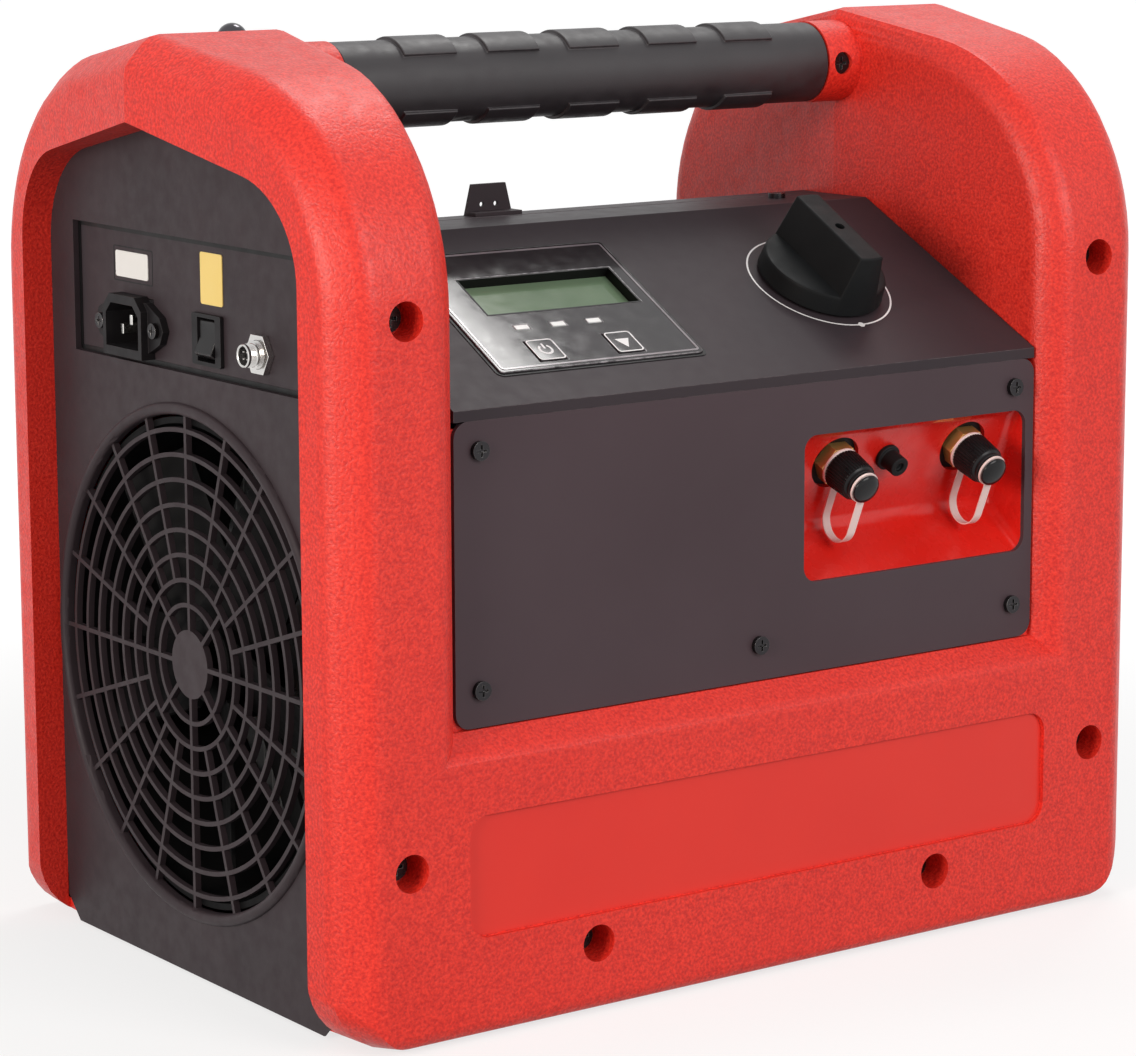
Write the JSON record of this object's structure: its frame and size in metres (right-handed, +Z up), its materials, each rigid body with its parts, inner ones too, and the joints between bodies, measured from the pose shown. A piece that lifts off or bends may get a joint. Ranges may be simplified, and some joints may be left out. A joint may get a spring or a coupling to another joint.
{
  "type": "refrigerant recovery machine",
  "caption": "Portable refrigerant recovery machine: red arched shells around a carrying handle, capped hose ports, sloped control panel with selector knob, fan grille and oil-less compressor.",
  "frame": {"origin": "middle of the footprint, on the floor under the feet", "axes": "+Z up, the front with the ports faces -Y, the fan grille faces -X, X along the handle"},
  "size_m": [0.4, 0.25, 0.3576],
  "materials": {
    "red_shell": "fine grained red moulding",
    "black_panel": "matt black powder coat",
    "plate_grey": "satin dark grey coat",
    "deck_charcoal": "satin charcoal coat",
    "black_rubber": "soft matt rubber",
    "black_screw": "black oxide",
    "bright_steel": "polished plating",
    "tube_steel": "drawn or plated steel",
    "port_brass": "machined brass",
    "tether_white": "soft translucent plastic",
    "black_plastic": "moulded black plastic",
    "overlay_black": "printed film",
    "display_green": "unlit reflective display",
    "lamp_clear": "diffusing lens",
    "key_grey": "embossed film key",
    "board_green": "circuit board",
    "label_white": "bare label",
    "label_yellow": "bare label",
    "cast_alloy": "cast and finned alloy",
    "copper": "drawn copper tube",
    "black_steel": "black coat"
  },
  "bodies": {
    "machine": {"front_shell": "red_shell", "rear_shell": "red_shell", "left_side_panel": "black_panel", "right_side_panel": "black_panel", "inlet_plate": "black_panel", "front_plate": "plate_grey", "rear_plate": "plate_grey", "control_panel": "deck_charcoal", "rear_cover": "deck_charcoal", "hose_tab": "black_panel", "base_pan": "black_panel", "feet": "black_rubber", "handle_tube": "tube_steel", "handle_grip": "black_rubber", "shell_screws": "black_screw", "plate_screws": "black_screw", "arch_screw": "bright_steel", "port_housing": "red_shell", "port_bracket": "tube_steel", "inlet_fitting": "port_brass", "outlet_fitting": "port_brass", "inlet_tether": "tether_white", "outlet_tether": "tether_white", "vent_nipple": "black_plastic", "display_overlay": "overlay_black", "display_module": "display_green", "indicator_lamps": "lamp_clear", "control_board": "board_green", "valve_body": "port_brass", "mains_inlet": "black_plastic", "inlet_pins": "bright_steel", "inlet_screws": "black_screw", "rating_label": "label_white", "caution_label": "label_yellow", "breaker_body": "black_plastic", "signal_connector": "bright_steel", "connector_nut": "bright_steel", "fan_shroud": "black_plastic", "fan_motor": "tube_steel", "condenser_core": "cast_alloy", "condenser_tube": "copper", "motor_housing": "cast_alloy", "crankcase": "cast_alloy", "cylinder_head": "cast_alloy", "compressor_base": "black_steel", "isolators": "black_rubber", "run_capacitor": "tube_steel", "pressure_switch": "port_brass", "gas_pipes": "copper"},
    "selector": {"selector_knob": "black_plastic", "valve_stem": "tube_steel"},
    "breaker_rocker": {"breaker_rocker": "black_plastic"},
    "power_key": {"power_key": "key_grey"},
    "scroll_key": {"scroll_key": "key_grey"},
    "fan_rotor": {"fan_impeller": "black_plastic"},
    "crank": {"crankshaft": "tube_steel"},
    "inlet_cap_ring": {"inlet_cap_ring": "tether_white"},
    "inlet_cap": {"inlet_cap": "black_plastic"},
    "outlet_cap_ring": {"outlet_cap_ring": "tether_white"},
    "outlet_cap": {"outlet_cap": "black_plastic"}
  },
  "joints": [
    {"name": "selector_turn", "type": "hinge", "parent": "machine", "child": "selector", "pos_m": [0.0677, -0.06762, 0.25316], "axis": [0, -0.4756, 0.8796], "range_deg": [-180, 0]},
    {"name": "breaker_rock", "type": "hinge", "parent": "machine", "child": "breaker_rocker", "pos_m": [-0.173, -0.0153, 0.2447], "axis": [0, -1, 0], "range_deg": [0, 24]},
    {"name": "power_press", "type": "slide", "parent": "machine", "child": "power_key", "axis": [0, -0.4756, 0.8796], "range_m": [-0.0005, 0], "stiffness_N_per_m": 400},
    {"name": "scroll_press", "type": "slide", "parent": "machine", "child": "scroll_key", "axis": [0, -0.4756, 0.8796], "range_m": [-0.0005, 0], "stiffness_N_per_m": 400},
    {"name": "fan_spin", "type": "hinge", "parent": "machine", "child": "fan_rotor", "pos_m": [-0.15, 0, 0.1215], "axis": [1, 0, 0], "continuous": true},
    {"name": "crank_spin", "type": "hinge", "parent": "machine", "child": "crank", "pos_m": [0, 0.01, 0.078], "axis": [1, 0, 0], "continuous": true},
    {"name": "inlet_cap_lift", "type": "slide", "parent": "machine", "child": "inlet_cap_ring", "axis": [0, -0.9205, -0.3907], "range_m": [0, 0.0064], "deforming": ["inlet_tether"]},
    {"name": "inlet_cap_turn", "type": "hinge", "parent": "inlet_cap_ring", "child": "inlet_cap", "pos_m": [0.0465, -0.10376, 0.189], "axis": [0, -0.9205, -0.3907], "range_deg": [0, 1800]},
    {"name": "outlet_cap_lift", "type": "slide", "parent": "machine", "child": "outlet_cap_ring", "axis": [0, -0.9205, -0.3907], "range_m": [0, 0.0064], "deforming": ["outlet_tether"]},
    {"name": "outlet_cap_turn", "type": "hinge", "parent": "outlet_cap_ring", "child": "outlet_cap", "pos_m": [0.111, -0.10376, 0.189], "axis": [0, -0.9205, -0.3907], "range_deg": [0, 1800]}
  ],
  "couplings": [
    {"joint": "inlet_cap_lift", "follows": "inlet_cap_turn", "m_per_rad": 0.00020213},
    {"joint": "outlet_cap_lift", "follows": "outlet_cap_turn", "m_per_rad": 0.00020213}
  ]
}
